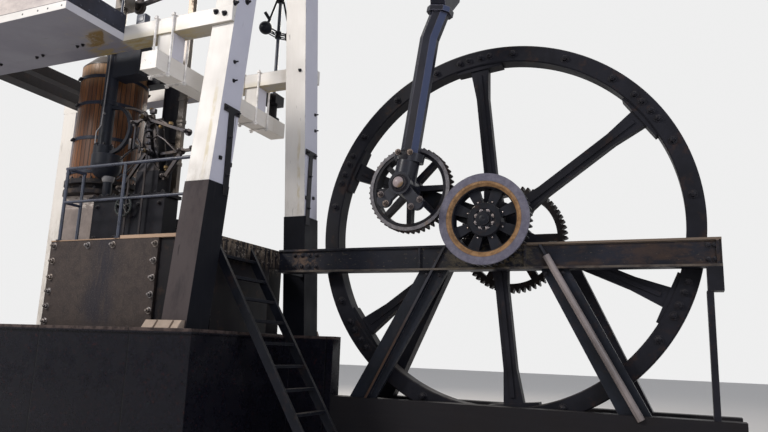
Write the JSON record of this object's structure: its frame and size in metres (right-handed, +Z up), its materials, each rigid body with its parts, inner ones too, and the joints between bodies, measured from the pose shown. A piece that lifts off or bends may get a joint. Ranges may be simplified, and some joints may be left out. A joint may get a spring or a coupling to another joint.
{
  "type": "beam engine",
  "caption": "Rotative beam engine with timber trestle, lagged cylinder, sun and planet gears and flywheel on an iron bearer, standing on its own base.",
  "frame": {"origin": "on the ground under the trunnion of the beam, in the beam's centre plane", "axes": "+X from the trestle to the flywheel, +Y away from the viewer of the picture, +Z up"},
  "size_m": [9.5, 3.55, 7.5106],
  "materials": {
    "dark_block": "matte",
    "iron": "satin",
    "bright_iron": "satin",
    "white_timber": "painted",
    "dark_timber": "painted",
    "brown_timber": "oiled",
    "painted_iron": "satin"
  },
  "bodies": {
    "frame": {"plinth": "dark_block", "cistern": "iron", "cistern_front_plate": "iron", "cistern_boards": "brown_timber", "end_tank": "iron", "front_post": "white_timber", "back_post": "white_timber", "post_boots": "dark_timber", "post_feet": "bright_iron", "post_straps": "painted_iron", "head_beams": "white_timber", "trunnion_bearings": "iron", "trunnion": "iron", "beam": "dark_timber", "beam_straps": "iron", "motion_links": "bright_iron", "piston_rod": "bright_iron", "spring_beams": "white_timber", "end_posts": "white_timber", "cross_beam": "white_timber", "spacer_blocks": "white_timber", "tie_rods": "painted_iron", "platform": "white_timber", "deck_channel": "painted_iron", "floor_joists": "painted_iron", "cylinder_base": "iron", "cylinder_lagging": "brown_timber", "cylinder_hoops": "iron", "cylinder_cover": "iron", "steam_pipe": "painted_iron", "nozzle_chests": "iron", "valve_levers": "bright_iron", "pump_rods": "bright_iron", "air_pump": "iron", "handrail": "painted_iron", "stair": "painted_iron", "bearer": "painted_iron", "struts": "painted_iron", "strut_bar": "bright_iron", "right_post": "painted_iron", "sole_beams": "dark_timber", "shaft_pedestals": "iron", "rear_frame": "painted_iron", "governor_stand": "painted_iron"},
    "flywheel": {"rim": "iron", "wheel_arms": "iron", "shaft": "iron", "sun_gear": "iron", "sun_shroud": "bright_iron", "drive_gear": "iron"},
    "orbit_link": {"orbit_link": "iron"},
    "rod": {"planet_gear": "iron", "connecting_rod": "painted_iron", "rod_foot": "iron"},
    "governor": {"governor_spindle": "painted_iron", "governor_balls": "iron"}
  },
  "joints": [
    {"name": "flywheel_spin", "type": "hinge", "parent": "frame", "child": "flywheel", "pos_m": [2.74, 0, 2.505], "axis": [0, 1, 0], "continuous": true},
    {"name": "orbit_turn", "type": "hinge", "parent": "frame", "child": "orbit_link", "pos_m": [2.74, 0, 2.505], "axis": [0, 1, 0], "continuous": true},
    {"name": "rod_turn", "type": "hinge", "parent": "orbit_link", "child": "rod", "pos_m": [1.88127, 0, 2.88733], "axis": [0, 1, 0], "continuous": true},
    {"name": "governor_spin", "type": "hinge", "parent": "frame", "child": "governor", "pos_m": [-0.8, 1.35, 4.75], "axis": [0, 0, 1], "continuous": true}
  ],
  "couplings": [
    {"joint": "orbit_turn", "follows": "flywheel_spin", "ratio": 0.5},
    {"joint": "rod_turn", "follows": "flywheel_spin", "ratio": -0.5}
  ]
}
